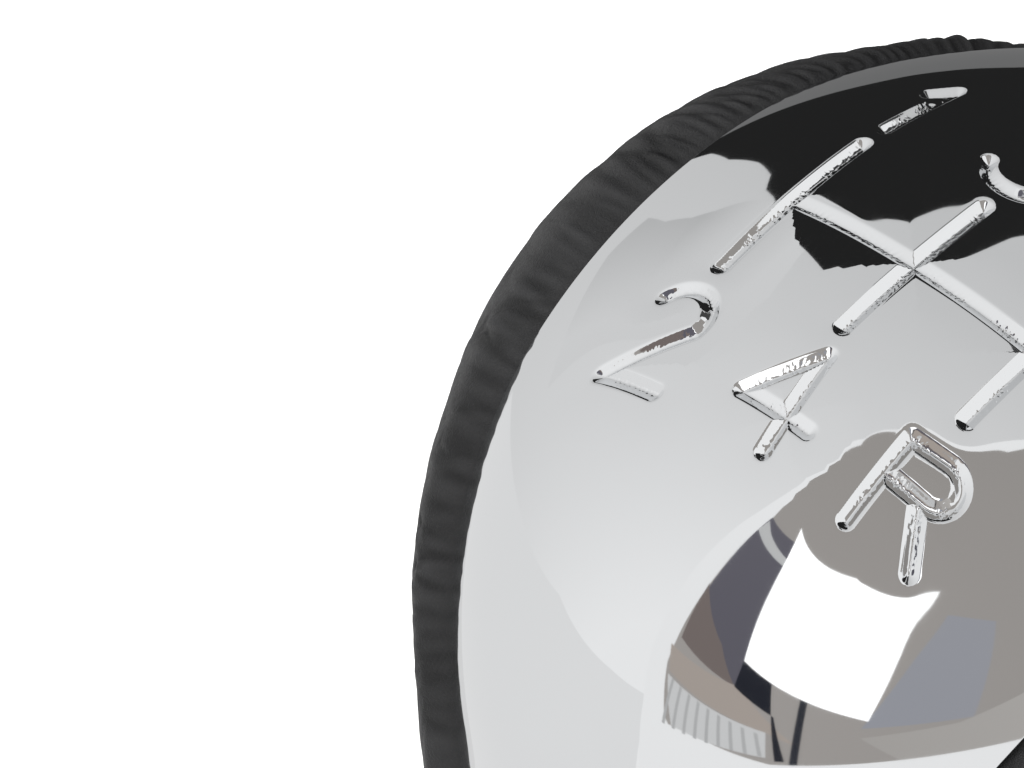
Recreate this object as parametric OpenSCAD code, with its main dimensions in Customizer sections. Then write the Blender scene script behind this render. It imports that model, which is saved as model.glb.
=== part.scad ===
// Gear shift knob: a chrome-plated cap with a recessed shift pattern arches over the head,
// leather is gathered around it, and a moulded core inside carries a threaded brass insert.
// Millimetres. Origin at the centre of the foot, +Z up the lever, +Y forwards, +X right.

/* [Head] */
// Overall height, from the boot collar's foot to the top of the cap
knob_h = 84; // [76:1:96]
// Half width of the head, left to right, at its widest level
head_half_w = 21; // [19:0.5:24]
// Half length of the head, front to rear, at its widest level
head_half_l = 24.8; // [22:0.2:28]
// Height of the dome above the widest level
dome_h = 19.5; // [17:0.5:23]
// Fullness of the dome's profile, where 2 is an ellipse
dome_power = 2.3; // [2:0.05:2.6]
// How far the plan is drawn in at its four corners, as a share of its radius
corner_cut = 0.043; // [0:0.001:0.06]
// How high the waist's fall starts, where 1 is an even fall
waist_power = 1.15; // [1:0.05:1.4]

/* [Cap] */
// Wall thickness of the cap
cap_t = 2.2; // [1.8:0.1:2.8]
// Depth of the cap's edge below the top at the flanks
edge_drop = 3.7; // [3:0.1:5]
// Radius of the arc that the cap's edge follows, seen from the side
edge_arc_r = 21.6; // [19:0.2:26]
// How far the top of that arc lies ahead of the lever
edge_arc_y = 0.9; // [-2:0.1:3]
// Depth of the cap's edge below the top at the front
lip_drop = 9.5; // [8:0.5:13]
// Depth of the cap's edge below the top at the rear
tail_drop = 26; // [22:0.5:30]
// Blend between the arc and the lip
edge_blend = 2.5; // [1:0.1:4]
// How much lower the cap's edge lies on the right flank than on the left
side_drop = 3.1; // [0:0.1:5]
// Gap between the cap's edge and the leather
edge_gap = 0.3; // [0.2:0.05:0.5]

/* [Shift pattern] */
// Distance between neighbouring gear lanes
lane_step = 7; // [6:0.1:8]
// Half length of a lane
lane_half = 4.5; // [4:0.1:5]
// How far the pattern's centre lies behind the lever
pattern_back = 2.3; // [0:0.1:4]
// Distance from the cross lane to the middle of a row of digits
row_step = 8.5; // [8:0.1:9]
// Height of a digit
digit_h = 5; // [4:0.1:5.5]
// Width of a digit
digit_w = 3.3; // [2.6:0.1:3.8]
// Width of a recessed stroke
stroke_w = 1.05; // [0.8:0.05:1.3]
// Depth of a recessed stroke
stroke_d = 0.42; // [0.3:0.02:0.5]

/* [Leather and foam] */
// Thickness of the leather
leather_t = 1.2; // [0.9:0.1:1.5]
// How far the leather stands proud of the cap
leather_proud = 1.4; // [1:0.1:2]
// How far from the cap's edge the leather reaches that height, in degrees down the form
leather_rise = 26; // [18:1:34]
// Depth of the gathers
gather_d = 0.22; // [0.1:0.02:0.3]
// Number of gathers in each half of the cover
gathers = 22; // [14:1:24]
// Distance from the cap's edge over which the gathers fade, in degrees down the form
gather_fade = 60; // [40:5:90]
// Gap between the two halves at a seam
seam_gap = 0.3; // [0.2:0.05:0.5]
// Diameter of the sewing thread
thread_d = 0.8; // [0.6:0.1:1]
// Length of a stitch
stitch_l = 3.4; // [2.6:0.1:4]
// Distance between stitches
stitch_step = 4; // [3:0.5:6]

/* [Lever and neck] */
// Diameter of the lever's plain end
lever_d = 12; // [10:0.5:14]
// Radius of the thread's wall in the brass insert
thread_r = 5.35; // [4.2:0.05:6.2]
// Length of the threaded insert
insert_len = 29; // [22:1:32]
// Wall of the insert's barrel
insert_wall = 1.7; // [1.4:0.1:2.2]
// Height of the insert's hexagon
hex_h = 5; // [4:0.5:6]
// Step from the barrel out to the hexagon's flats
hex_step = 0.9; // [0.7:0.1:1.4]
// Wall of the lever bush
bush_wall = 2.4; // [1.8:0.1:3]
// Length of the lever bush
bush_len = 13; // [10:0.5:14]
// Wall of the core's neck around the bush
neck_wall = 2.4; // [2.2:0.1:3.2]
// Step from the core's neck out to the grip's form
neck_step = 3.4; // [3.1:0.1:3.8]

/* [Neck ring and boot collar] */
// Height of the chrome ring
ring_h = 6; // [5:0.5:8]
// How far the ring stands outside the leather
ring_proud = 1.3; // [1:0.1:2]
// Height of the boot collar
collar_h = 6.4; // [5.5:0.1:8]
// Thickness of the collar's web under the neck
web_t = 2.4; // [2:0.1:3]
// Depth of the groove that holds the boot
boot_groove_d = 1.6; // [1:0.1:2]
// Height of that groove
boot_groove_h = 2; // [1.4:0.1:2.4]

/* [Fasteners and inner parts] */
// Radius of the core lid's screws
lid_screw_r = 1.6; // [1.3:0.1:1.8]
// Length of the lid screws below the head
lid_screw_len = 16; // [12:1:20]
// Distance of the lid screws from the middle
lid_screw_pcr = 12.3; // [12:0.1:13]
// Radius of the collar's screws
collar_screw_r = 0.75; // [0.6:0.05:0.9]
// Length of the collar's screws below the head
collar_screw_len = 7; // [5:0.5:9]
// Thickness of the spring washer
washer_t = 0.8; // [0.5:0.1:1.2]
// Wall of the core around the weight's pocket, measured to the hexagon's corners
pocket_play = 0.4; // [0.3:0.1:0.8]
// Width of the cap's legs
leg_w = 5; // [4:0.5:6]
// Thickness of the cap's legs
leg_t = 1.6; // [1.3:0.1:2]
// Length of the cap's legs
leg_len = 10; // [8:0.5:11]
// Distance of the legs from the lever, front and rear
leg_y = 15; // [14:0.5:16]
// Distance of the legs from the middle, left and right
leg_x = 6; // [5:0.5:7]
// Sheet thickness of the spring clips
clip_t = 0.4; // [0.3:0.05:0.5]
// Radius of the damping pad
pad_r = 6; // [4:0.5:7]
// Depth of the damping pad's seat
pad_seat = 1.8; // [1:0.1:3]

/* [Fits] */
// Clearance between parts that slot together
fit = 0.1; // [0.05:0.05:0.2]
// Gap from the core to the foam
foam_gap = 0.35; // [0.3:0.05:0.5]
// Gap from the foam to the leather's gathers
cover_gap = 0.12; // [0.1:0.02:0.2]

/* [Hidden] */

// Facets around the form, and around turned parts
cap_cols = 72;
core_cols = 48;
foam_cols = 48;
panel_cols = 3 * gathers;
cap_rows = 12;
cap_under_rows = 6;
cover_rows = 10;
lid_rows = 9;
core_rows = 8;
turned = 96;
small_turned = 40;
eps = 0.01;

// Levels, from the foot upwards
eq_z = knob_h - dome_h;
ring_z = collar_h + fit;
cover_z = ring_z + ring_h + fit;
bush_z = web_t + fit;
insert_z = bush_z + bush_len + fit;
hex_z = insert_z + insert_len - hex_h;
insert_top = insert_z + insert_len;
split_z = eq_z - 1.5;
weight_z = insert_top + washer_t + 2 * fit;

// Radii, from the lever outwards
bush_bore = lever_d / 2 + 2 * fit;
bush_r = bush_bore + bush_wall;
neck_bore = bush_r + fit;
spigot_r = neck_bore + neck_wall;
neck_r = spigot_r + neck_step;
barrel_r = thread_r + insert_wall;
hex_flat = barrel_r + hex_step;
hex_r = hex_flat / cos(30);
pocket_r = hex_r + pocket_play;
weight_r = pocket_r - fit;
cover_foot_r = neck_r + leather_proud;
ring_r = cover_foot_r + ring_proud;

// The level of the split between the core and its lid, in degrees down the form
function split_down() = 90 + 90 * (eq_z - split_z) / body_h;

// The core's form lies this far inside the cap's outer face
core_in = cap_t + 0.8;

// The form that every layer of the head is measured from
body_h = eq_z - cover_z;
function drawn_in(th) = corner_cut * (1 - cos(4 * th)) / 2;
function fall(t) = (1 + cos(180 * pow(t, waist_power))) / 2;
// A point at th degrees round the form and v degrees down it: 0 is the top, 90 the widest
// level and 180 the neck. off is the distance outside the form.
function form(th, v, off) =
    let (above = v <= 90, t = max(v - 90, 0) / 90, f = above ? 1 : fall(t),
        s = above ? pow(sin(v), 2 / dome_power) : 1,
        c = above ? pow(cos(v), 2 / dome_power) : 0,
        k = s * (1 - drawn_in(th) * f),
        half_w = neck_r + (head_half_w - neck_r) * f + off,
        half_l = neck_r + (head_half_l - neck_r) * f + off)
    [half_w * k * cos(th), half_l * k * sin(th),
        above ? eq_z + (dome_h + off) * c : eq_z - t * body_h];

// Height of the dome above a point of the plan
function dome_z(x, y) =
    let (th = atan2(y / head_half_l, x / head_half_w),
        rho = norm([x / head_half_w, y / head_half_l]) / (1 - drawn_in(th)))
    eq_z + dome_h * pow(1 - pow(rho, dome_power), 1 / dome_power);

// The cap's edge seen from the side: an arc over the flanks that runs on straight where it
// gets steep, blended into a line that slopes from the front lip to the tail
arc_limit = 0.95;
function arc_fall(t) =
    let (u = min(abs(t), arc_limit), w = sqrt(1 - u * u))
    1 - w + (abs(t) - u) * u / w;
function edge_z(x, y) =
    let (a = knob_h - edge_drop - edge_arc_r * arc_fall((y - edge_arc_y) / edge_arc_r),
        share = (y + head_half_l) / (2 * head_half_l),
        b = knob_h - tail_drop + (tail_drop - lip_drop) * share,
        right_share = (x + head_half_w) / (2 * head_half_w))
    (a + b + sqrt((a - b) * (a - b) + edge_blend * edge_blend)) / 2
        - side_drop * right_share * right_share;
// Degrees down the form at which the edge lies, found by halving
function edge_v(th, lo = 5, hi = 150, n = 20) =
    let (mid = (lo + hi) / 2, p = form(th, mid, 0))
    n == 0 ? mid : p[2] > edge_z(p[0], p[1]) ? edge_v(th, mid, hi, n - 1) : edge_v(th, lo, mid, n - 1);

// A solid from rings of equal length, closed by a point at each end
module loft(rings, first, last) {
    n = len(rings[0]);
    m = len(rings);
    pts = concat([for (r = rings, p = r) p], [first, last]);
    polyhedron(pts, concat(
        [for (i = [0:m - 2], j = [0:n - 1], half = [0, 1])
            let (a = i * n + j, b = i * n + (j + 1) % n)
            half == 0 ? [a, b, b + n] : [a, b + n, a + n]],
        [for (j = [0:n - 1]) [m * n, (j + 1) % n, j]],
        [for (j = [0:n - 1]) [m * n + 1, (m - 1) * n + j, (m - 1) * n + (j + 1) % n]]));
}

// A solid from closed sections set round the form; each section runs down the outside and
// back up the inside. It is a ring, or a panel closed by a strip at each end.
module wrap(sections, ring = false) {
    k = len(sections[0]);
    n = len(sections);
    half_k = k / 2;
    steps = ring ? n : n - 1;
    walls = [for (i = [0:steps - 1], j = [0:k - 1], half = [0, 1])
        let (a = i * k + j, b = i * k + (j + 1) % k, c = ((i + 1) % n) * k + j,
            d = ((i + 1) % n) * k + (j + 1) % k)
        half == 0 ? [a, c, d] : [a, d, b]];
    ends = ring ? [] : [for (j = [0:half_k - 2], half = [0, 1], far = [0, 1])
        let (o = far * (n - 1) * k, a = o + j, b = o + j + 1, c = o + k - 2 - j, d = o + k - 1 - j,
            face = half == 0 ? [a, b, c] : [a, c, d])
        far == 0 ? face : [face[2], face[1], face[0]]];
    polyhedron([for (s = sections, p = s) p], concat(walls, ends));
}

function turn(n) = [for (i = [0:n - 1]) 360 * i / n];

// A closed solid of the form, off outside it, from the top down to the level v degrees
module form_solid(cols, rows, v_end, off) {
    loft([for (j = [1:rows]) [for (th = turn(cols)) form(th, v_end * j / rows, off)]],
        form(0, 0, off), [0, 0, form(0, v_end, off)[2]]);
}

// Shift pattern: strokes as paths in plan, in millimetres from the pattern's centre
function arc_path(c, rx, ry, a1, a2, n) =
    [for (i = [0:n]) let (a = a1 + (a2 - a1) * i / n) c + [rx * cos(a), ry * sin(a)]];
function straight(p, q, n) = [for (i = [0:n]) p + (q - p) * i / n];
dw = digit_w / 2;
dh = digit_h / 2;
function digit_one() = [[[-0.7 * dw, 0.45 * dh], [0.25 * dw, dh], [0.25 * dw, 0], [0.25 * dw, -dh]]];
function digit_two() = [concat(arc_path([0, dh - dw], dw, dw, 165, -25, 6),
    [[-dw, -dh], [0, -dh], [dw, -dh]])];
function digit_three() = [concat(arc_path([-0.1 * dw, dh / 2], 0.95 * dw, dh / 2, 150, -90, 6),
    arc_path([-0.1 * dw, -dh / 2], 1.05 * dw, dh / 2, 90, -150, 6))];
function digit_four() = [[[0.45 * dw, -dh], [0.45 * dw, 0], [0.45 * dw, dh], [-dw, -0.4 * dh],
    [dw * 1.2, -0.4 * dh]]];
function digit_five() = [concat([[0.9 * dw, dh], [-0.7 * dw, dh], [-0.8 * dw, 0.1 * dh]],
    arc_path([-0.1 * dw, -0.35 * dh], 1.1 * dw, 0.65 * dh, 120, -145, 7))];
function letter_r() = [[[-dw, -dh], [-dw, 0], [-dw, dh], [0.2 * dw, dh]],
    arc_path([0.2 * dw, dh / 2], 0.8 * dw, dh / 2, 90, -90, 5), [[0.2 * dw, 0], [-dw, 0]],
    [[0.1 * dw, 0], [dw, -dh]]];
function shifted(paths, by) = [for (path = paths) [for (p = path) p + by]];
strokes = concat(
    [for (k = [-1:1]) straight([k * lane_step, lane_half], [k * lane_step, -lane_half], 4)],
    [straight([-lane_step, 0], [lane_step, 0], 6)],
    shifted(digit_one(), [-lane_step, row_step]),
    shifted(digit_three(), [0, row_step]),
    shifted(digit_five(), [lane_step, row_step]),
    shifted(digit_two(), [-lane_step, -row_step]),
    shifted(digit_four(), [0, -row_step]),
    shifted(letter_r(), [lane_step, -row_step]));

// A stroke is a round-bottomed channel that follows the dome
ball_r = (stroke_w * stroke_w / 4 + stroke_d * stroke_d) / (2 * stroke_d);
// The ball is turned a little, so that its facets don't line up with the strokes
ball_turn = 9;
module stroke_ball(p) {
    x = p[0];
    y = p[1] - pattern_back;
    translate([x, y, dome_z(x, y) + ball_r - stroke_d])
        rotate([0, 0, ball_turn]) sphere(r = ball_r, $fn = 8);
}
module channel(path) {
    for (i = [0:len(path) - 2]) hull() {
        stroke_ball(path[i]);
        stroke_ball(path[i + 1]);
    }
}

module cap_shell() {
    under = cap_t;
    ease = 0.25;
    rings = concat(
        [for (j = [1:cap_rows]) [for (th = turn(cap_cols))
            let (ev = edge_v(th)) form(th, j < cap_rows ? ev * j / cap_rows : ev - ease, 0)]],
        [[for (th = turn(cap_cols)) form(th, edge_v(th), -ease)]],
        [for (j = [0:cap_under_rows - 1]) [for (th = turn(cap_cols))
            form(th, edge_v(th) * (1 - j / cap_under_rows), -under)]]);
    loft(rings, [0, 0, knob_h], [0, 0, knob_h - under]);
}

// Legs under the cap, trimmed by the middle of its wall so that they grow out of it
leg_foot = dome_z(leg_x, leg_y) - cap_t - leg_len;
module at_legs() {
    for (sx = [-1, 1], sy = [-1, 1]) translate([sx * leg_x, sy * leg_y, leg_foot]) children();
}
module cap_legs() {
    intersection() {
        at_legs() translate([-leg_w / 2, -leg_t / 2, 0]) cube([leg_w, leg_t, dome_h + leg_len]);
        form_solid(core_cols, 8, 90, -cap_t / 2);
    }
}

module top_cap() {
    color([0.86, 0.87, 0.88]) difference() {
        union() {
            cap_shell();
            cap_legs();
        }
        for (path = strokes) channel(path);
    }
}

// Spring clips: a sheet-steel U round the foot of each leg, with tips that grip the slot
clip_in = leg_t / 2 + fit / 2;
clip_out = clip_in + clip_t;
clip_tip = clip_out + 0.3;
clip_h = 5;
module cap_clips() {
    color([0.62, 0.64, 0.66]) at_legs() rotate([90, 0, 90])
        linear_extrude(height = leg_w - 1, center = true) for (s = [-1, 1])
            polygon([[0, -clip_t - fit], [s * clip_out, -clip_t - fit],
                [s * clip_out, clip_h - 2], [s * clip_tip, clip_h - 1],
                [s * clip_out, clip_h], [s * clip_in, clip_h], [s * clip_in, -fit],
                [0, -fit]]);
}

pad_z = knob_h - core_in - pad_seat;
module cap_pad() {
    color([0.25, 0.25, 0.27]) intersection() {
        translate([0, 0, pad_z + fit]) cylinder(r = pad_r, h = dome_h, $fn = small_turned);
        form_solid(core_cols, 8, 90, -cap_t - 2 * fit);
    }
}

// The cover: height of the leather above the form, v degrees down at th round
tuck = 0.3;
function roll(w) = sqrt(1 - pow(1 - min(max(w, 0), 1), 2));
function cover_off(v, ev) = -tuck + (leather_proud + tuck) * roll((v - ev) / leather_rise);
function cover_v(ev, j) =
    let (start = ev + edge_gap * 3) start + (180 - start) * pow(j / (cover_rows - 1), 1.6);
// Gathers run away from the edge and fade; a seam pulls the leather down
seam_pull = 0.5;
seam_width = 3;
function gather(th, v, ev) =
    let (size = 0.8 + 0.2 * sin(7 * th), fade = max(0, 1 - (v - ev) / gather_fade))
    gather_d * size * fade * sin(th * 2 * gathers);
function seam_dip(th) =
    let (d = min(abs(th - 90), abs(th - 270), abs(th - 450))) seam_pull * exp(-pow(d / seam_width, 2));

module leather_panel(seam) {
    half_gap = asin(seam_gap / 2 / head_half_l);
    first = seam + half_gap;
    span = 180 - 2 * half_gap;
    wrap([for (i = [0:panel_cols])
        let (th = first + span * i / panel_cols, ev = edge_v(th), dip = seam_dip(th),
            outside = [for (j = [0:cover_rows - 1])
                let (v = cover_v(ev, j)) [v, cover_off(v, ev) + gather(th, v, ev) - dip]],
            inside = [for (j = [cover_rows - 1:-1:0])
                [outside[j][0], outside[j][1] - leather_t + dip * 0.6]])
        [for (p = concat(outside, inside)) form(th, p[0], p[1])]]);
}
module leather_left() {
    color([0.09, 0.09, 0.1]) leather_panel(90);
}
module leather_right() {
    color([0.09, 0.09, 0.1]) leather_panel(270);
}

// Stitches lie across the seams, from below the cap's edge down to the neck ring
stitch_lift = thread_d / 2 + 0.12;
stitch_slant = 14;
module seam_stitches(side) {
    th = side * 90;
    ev = edge_v(th);
    top = form(th, ev + leather_rise, 0);
    count = floor((top[2] - cover_z - 2 * stitch_step) / stitch_step);
    for (i = [0:count]) {
        v = 180 - (180 - ev - leather_rise) * (i + 1) / (count + 2);
        p = form(th, v, cover_off(v, ev) + stitch_lift);
        translate(p) rotate([0, 90 + stitch_slant, 0]) {
            cylinder(d = thread_d, h = stitch_l - thread_d, center = true, $fn = 16);
            for (s = [-1, 1]) translate([0, 0, s * (stitch_l - thread_d) / 2])
                sphere(d = thread_d, $fn = 16);
        }
    }
}
module front_stitches() {
    color([0.14, 0.14, 0.15]) seam_stitches(1);
}
module rear_stitches() {
    color([0.14, 0.14, 0.15]) seam_stitches(-1);
}

module foam_liner() {
    foam_under = core_in - foam_gap;
    color([0.55, 0.54, 0.48]) wrap([for (th = turn(foam_cols))
        let (ev = edge_v(th), vs = [for (j = [0:cover_rows - 1]) cover_v(ev, j)])
        concat(
            [for (v = vs) form(th, v, cover_off(v, ev) - leather_t - gather_d - cover_gap)],
            [for (j = [cover_rows - 1:-1:0]) form(th, vs[j], -foam_under)])],
        ring = true);
}

// The lid is the upper half of the moulded core
head_seat = split_z + 5;
screw_head_r = 2 * lid_screw_r;
screw_head_h = 1.3 * lid_screw_r;
module at_lid_screws() {
    for (a = [45:90:315]) rotate(a) translate([lid_screw_pcr, 0, 0]) children();
}
module core_lid() {
    color([0.2, 0.2, 0.22]) difference() {
        intersection() {
            form_solid(core_cols, lid_rows, 100, -core_in);
            translate([0, 0, split_z + fit]) cylinder(r = 2 * head_half_l, h = dome_h * 2, $fn = turned);
        }
        translate([0, 0, pad_z]) cylinder(r = pad_r + fit, h = dome_h, $fn = small_turned);
        at_lid_screws() {
            translate([0, 0, split_z - 1])
                cylinder(r = lid_screw_r + 2 * fit, h = dome_h, $fn = small_turned);
            translate([0, 0, head_seat])
                cylinder(r = screw_head_r + 2 * fit, h = dome_h, $fn = small_turned);
        }
        at_legs() translate([-leg_w / 2 - 2 * fit, -clip_tip - fit / 2, -clip_t - 2 * fit])
            cube([leg_w + 4 * fit, 2 * clip_tip + fit, dome_h]);
    }
}

// A screw with a pan head and a cross recess, its head's underside at the origin
module screw(r, len) {
    head_r = 2 * r;
    head_h = 1.3 * r;
    difference() {
        union() {
            rotate_extrude($fn = small_turned) polygon([[0, 0], [head_r, 0],
                [head_r, 0.5 * head_h], [0.75 * head_r, head_h], [0, head_h]]);
            translate([0, 0, r - len]) cylinder(r = r, h = len - r + eps, $fn = small_turned);
            translate([0, 0, -len]) cylinder(r1 = 0.3 * r, r2 = r, h = r, $fn = small_turned);
        }
        for (a = [0, 90]) rotate(a) translate([0, 0, head_h])
            cube([1.2 * head_r, 0.35 * r, head_h], center = true);
    }
}
module lid_screws() {
    color([0.66, 0.67, 0.68]) at_lid_screws()
        translate([0, 0, head_seat + fit]) screw(lid_screw_r, lid_screw_len);
}

module at_collar_screws() {
    for (a = [30:120:270]) rotate(a)
        translate([(neck_bore + spigot_r) / 2, 0, 0]) children();
}

module hexagon(flat, h) {
    cylinder(r = flat / cos(30), h = h, $fn = 6);
}

split_v = split_down();
module core() {
    color([0.24, 0.24, 0.26]) difference() {
        union() {
            loft([for (j = [0:core_rows]) [for (th = turn(core_cols))
                form(th, split_v + (180 - split_v) * j / core_rows, -core_in)]],
                [0, 0, split_z], [0, 0, cover_z]);
            translate([0, 0, web_t]) cylinder(r = spigot_r, h = cover_z, $fn = turned);
        }
        cylinder(r = neck_bore, h = insert_z, $fn = turned);
        translate([0, 0, web_t]) cylinder(r = barrel_r + fit, h = knob_h, $fn = turned);
        translate([0, 0, hex_z]) hexagon(hex_flat + fit, knob_h);
        translate([0, 0, insert_top + fit]) cylinder(r = pocket_r, h = knob_h, $fn = turned);
        at_lid_screws() translate([0, 0, head_seat - lid_screw_len - 1])
            cylinder(r = lid_screw_r + fit / 2, h = knob_h, $fn = small_turned);
        at_collar_screws() translate([0, 0, 0])
            cylinder(r = collar_screw_r + fit / 2, h = web_t + collar_screw_len + 1, $fn = small_turned);
    }
}

module weight_slug() {
    h = split_z - weight_z;
    bevel = 0.8;
    color([0.5, 0.51, 0.53]) rotate_extrude($fn = turned) polygon([
        [0, weight_z], [weight_r - bevel, weight_z], [weight_r, weight_z + bevel],
        [weight_r, weight_z + h - bevel], [weight_r - bevel, weight_z + h], [0, weight_z + h]]);
}

// A conical spring washer between the hexagon and the weight
module spring_washer() {
    inner = bush_bore;
    outer = hex_flat - fit;
    base = insert_top + fit;
    cone = washer_t / 2;
    color([0.7, 0.7, 0.68]) rotate_extrude($fn = turned) polygon([
        [inner, base + cone], [outer, base], [outer, base + washer_t - cone],
        [inner, base + washer_t]]);
}

module threaded_insert() {
    bevel = 0.6;
    color([0.8, 0.65, 0.3]) difference() {
        union() {
            rotate_extrude($fn = turned) polygon([
                [0, insert_z], [barrel_r - bevel, insert_z], [barrel_r, insert_z + bevel],
                [barrel_r, insert_z + 8], [barrel_r - bevel, insert_z + 8.6],
                [barrel_r - bevel, insert_z + 11.4], [barrel_r, insert_z + 12],
                [barrel_r, insert_top - fit], [0, insert_top - fit]]);
            translate([0, 0, hex_z + fit]) hexagon(hex_flat, hex_h - fit);
        }
        translate([0, 0, insert_z - 1]) cylinder(r = thread_r, h = insert_len + 2, $fn = turned);
    }
}

module lever_bush() {
    flare = 0.6;
    color([0.1, 0.1, 0.1]) rotate_extrude($fn = turned) polygon([
        [bush_bore + flare, bush_z], [bush_r, bush_z], [bush_r, bush_z + bush_len],
        [bush_bore + flare, bush_z + bush_len], [bush_bore, bush_z + bush_len - flare],
        [bush_bore, bush_z + flare]]);
}

// Chrome ring at the neck: a rounded outside and a lip that hides the leather's lower edge
module neck_ring() {
    lip_in = cover_foot_r + 2 * fit;
    lip_h = 1.2;
    bulge = (ring_h + lip_h) / 2;
    mid_z = ring_z + bulge;
    color([0.86, 0.87, 0.88]) rotate_extrude($fn = turned) polygon(concat(
        [[spigot_r + fit, ring_z], [ring_r - 1, ring_z]],
        [for (a = [-75:15:75]) [ring_r - 1 + cos(a), mid_z + bulge * sin(a)]],
        [[ring_r - 1, ring_z + ring_h + lip_h], [lip_in, ring_z + ring_h + lip_h],
        [lip_in, ring_z + ring_h], [spigot_r + fit, ring_z + ring_h]]));
}

// Boot collar: carries the boot's edge in a groove and screws up into the core's neck
module boot_collar() {
    outer = ring_r - 1.2;
    mid = collar_h / 2;
    bevel = 0.6;
    color([0.12, 0.12, 0.13]) difference() {
        rotate_extrude($fn = turned) polygon([
            [bush_bore + 0.6, 0], [outer - bevel, 0], [outer, bevel],
            [outer, mid - boot_groove_h / 2], [outer - boot_groove_d, mid - boot_groove_h / 2 + 0.3],
            [outer - boot_groove_d, mid + boot_groove_h / 2 - 0.3], [outer, mid + boot_groove_h / 2],
            [outer, collar_h - bevel], [outer - bevel, collar_h], [spigot_r + fit, collar_h],
            [spigot_r + fit, web_t], [bush_bore + 0.6, web_t]]);
        at_collar_screws() {
            translate([0, 0, -1])
                cylinder(r = collar_screw_r + fit, h = web_t + 2, $fn = small_turned);
            translate([0, 0, -1])
                cylinder(r = 2 * collar_screw_r + fit, h = 2.3, $fn = small_turned);
        }
    }
}
module collar_screws() {
    color([0.5, 0.5, 0.52]) at_collar_screws() translate([0, 0, 1.2]) mirror([0, 0, 1])
        screw(collar_screw_r, collar_screw_len);
}

top_cap();
cap_clips();
cap_pad();
leather_left();
leather_right();
front_stitches();
rear_stitches();
foam_liner();
core_lid();
lid_screws();
core();
weight_slug();
spring_washer();
threaded_insert();
lever_bush();
neck_ring();
boot_collar();
collar_screws();
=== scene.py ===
"""Looks of the gear shift knob: chrome cap, gathered leather, stitches, neck ring and studio."""

import math

import bpy
import numpy as np
from bpy.props import FloatProperty, FloatVectorProperty, IntProperty, PointerProperty
from mathutils import Matrix, Vector
from mathutils.geometry import delaunay_2d_cdt


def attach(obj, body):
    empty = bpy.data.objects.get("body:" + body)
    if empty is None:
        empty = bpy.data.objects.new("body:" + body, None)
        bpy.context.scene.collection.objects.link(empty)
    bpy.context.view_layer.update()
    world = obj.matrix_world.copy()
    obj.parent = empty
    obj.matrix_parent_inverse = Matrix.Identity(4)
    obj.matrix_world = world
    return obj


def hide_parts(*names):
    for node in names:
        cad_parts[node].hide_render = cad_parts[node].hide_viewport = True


bl_info = {
    "name": "Gear shift knob",
    "version": (1, 0, 0),
    "blender": (4, 5, 0),
    "location": "View3D > Sidebar > Knob",
    "description": "Builds the looks of a gear shift knob round its packed CAD frame",
    "category": "Object",
}

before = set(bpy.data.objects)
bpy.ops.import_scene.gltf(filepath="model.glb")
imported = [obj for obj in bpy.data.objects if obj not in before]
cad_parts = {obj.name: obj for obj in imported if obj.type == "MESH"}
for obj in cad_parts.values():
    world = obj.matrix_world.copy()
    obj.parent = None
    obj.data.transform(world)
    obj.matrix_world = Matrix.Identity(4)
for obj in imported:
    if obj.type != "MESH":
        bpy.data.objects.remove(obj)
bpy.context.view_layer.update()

MM = 0.001

# The head's form, in millimetres and degrees, as the part's source has it
KNOB_H = 84.0
HEAD_HALF_W = 21.0
HEAD_HALF_L = 24.8
DOME_H = 19.5
DOME_POWER = 2.3
CORNER_CUT = 0.043
WAIST_POWER = 1.15
NECK_R = 14.1
EQ_Z = KNOB_H - DOME_H
COVER_Z = 12.6
BODY_H = EQ_Z - COVER_Z
CAP_T = 2.2

# The saddle of the cap's edge, seen from the side
EDGE_DROP = 3.7
EDGE_ARC_R = 21.6
EDGE_ARC_Y = 0.9
LIP_DROP = 9.5
TAIL_DROP = 26.0
EDGE_BLEND = 2.5
SIDE_DROP = 3.1
EDGE_GAP = 0.3

# The shift pattern
LANE_STEP = 7.0
LANE_HALF = 4.5
PATTERN_BACK = 2.3
ROW_STEP = 8.5
DIGIT_H = 5.0
DIGIT_W = 3.3

# Section of a stroke, a digit's share of a lane's section, and the sag of the plating beside it
FLOOR_ROUND = 0.1
BRIM_ROUND = 0.05
DIGIT_SHARE = 0.92
CAST_RELIEF = 0.012
CAST_REACH = 0.22
LANE_SAG = 0.08
DIGIT_SAG = 0.045
SAG_REACH = 1.6

# The cap's mesh: vertices round its edge, rings of its open face, and how far from a stroke's
# middle the fine, the middle and the coarse vertices reach
CAP_COLS = 900
CAP_ROWS = 84
RIM_SECTIONS = 8
UNDER_ROWS = 10
UNDER_SKIP = 15
FINE_TO = 0.85
MIDDLE_TO = 1.35
COARSE_TO = 2.4
# Turns down from the top, in degrees: the pattern lies above the first, and no ring is thinned
# below the second
PATTERN_V = 72
RINGS_V = 70
# How far the fine net reaches past the digits, to the side and along
NET_MARGIN = (1.5, 3)
# The vertices of a ring, the least of them, and how fast they grow from the pole
RING_COLS = 300
RING_LEAST = 12
RING_GROWTH = 2.2
# Distance between the rows of an even net, as a share of its step
NET_ROW = 0.866

# The cover's mesh: columns, rows, and how much closer the rows lie next to the cap
COVER_COLS = 560
COVER_ROWS = 140
ROW_EASE = 1.75

# The cover and its stitches
LEATHER_T = 1.2
LEATHER_PROUD = 1.4
LEATHER_RISE = 26.0
LEATHER_TUCK = 0.3
SEAM_PULL = 0.5
SEAM_WIDTH = 3.0
# Name of the leather's own value for how high each fold stands; from it the leather's colour takes
# painted shade in the valleys and painted light with rubbing wear on the crests
FOLD_SHADE_AND_WEAR = "fold_relief_shade_and_wear"
# How much the leather stands up round the cap, as turn in degrees and height
EDGE_LIFT = (
    (90, 0), (97, 0.4), (105, 0.8), (118, 1.3), (127, 1.6), (134, 0.4), (145, -0.5), (155, -0.5),
    (170, -0.35), (190, -0.15), (210, 0.1), (225, 0.65), (240, 0.8), (255, 0.6), (270, 0.4),
)
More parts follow.
